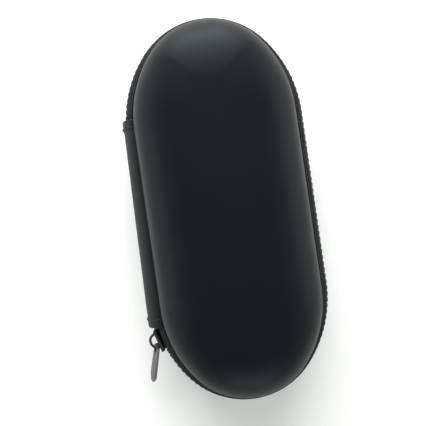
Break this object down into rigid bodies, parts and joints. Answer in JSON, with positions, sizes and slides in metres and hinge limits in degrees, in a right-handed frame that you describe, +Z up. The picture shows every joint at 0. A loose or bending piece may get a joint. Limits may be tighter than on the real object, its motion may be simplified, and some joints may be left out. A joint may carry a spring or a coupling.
{
  "type": "zipped carry case",
  "caption": "Pill-shaped hard-shell carry case for earbuds: two moulded foam shells hinged on a strip along one long side and closed by a zip with a slider and a pull tab.",
  "frame": {"origin": "middle of the base's flat rest face", "axes": "+X along the case's length, +Y towards the hinge strip, +Z up through the lid"},
  "size_m": [0.1632, 0.0814, 0.0602],
  "materials": {
    "skin": "matte soft-touch coated fabric",
    "foam": "moulded closed-cell foam",
    "lining": "knitted lining",
    "binding": "woven binding tape",
    "zip_tape": "woven zip tape",
    "zip_coil": "nylon coil",
    "hinge_strip": "woven strip, folded and sewn",
    "net": "knotted net",
    "elastic": "woven elastic",
    "slider_metal": "black enamelled zinc",
    "pull_metal": "black nickel, satin"
  },
  "bodies": {
    "base": {"base_skin": "skin", "base_foam": "foam", "base_lining": "lining", "base_binding": "binding", "base_zip_tape": "zip_tape", "base_zip_coil": "zip_coil", "hinge_spine": "hinge_strip", "hinge_lining": "lining", "hinge_tab_slider_end": "hinge_strip", "hinge_tab_far_end": "hinge_strip"},
    "lid": {"lid_skin": "skin", "lid_foam": "foam", "lid_lining": "lining", "lid_binding": "binding", "lid_zip_tape": "zip_tape", "lid_zip_coil": "zip_coil", "pocket_net": "net", "pocket_elastic": "elastic"},
    "slider": {"slider_body": "slider_metal", "slider_bridge": "slider_metal"},
    "pull": {"pull_tab": "pull_metal"}
  },
  "joints": [
    {"name": "lid_hinge", "type": "hinge", "parent": "base", "child": "lid", "pos_m": [0, 0.0379, 0.0352], "axis": [-1, 0, 0], "range_deg": [0, 165]},
    {"name": "slider_travel", "type": "hinge", "parent": "base", "child": "slider", "pos_m": [-0.0368, -0.01368, 0.024], "axis": [0, 0, 1], "range_deg": [0, 17.5]},
    {"name": "tab_swing", "type": "hinge", "parent": "slider", "child": "pull", "pos_m": [-0.05444, 0.03814, 0.024], "axis": [-0.129, -0.9916, 0], "range_deg": [-50, 40]}
  ]
}
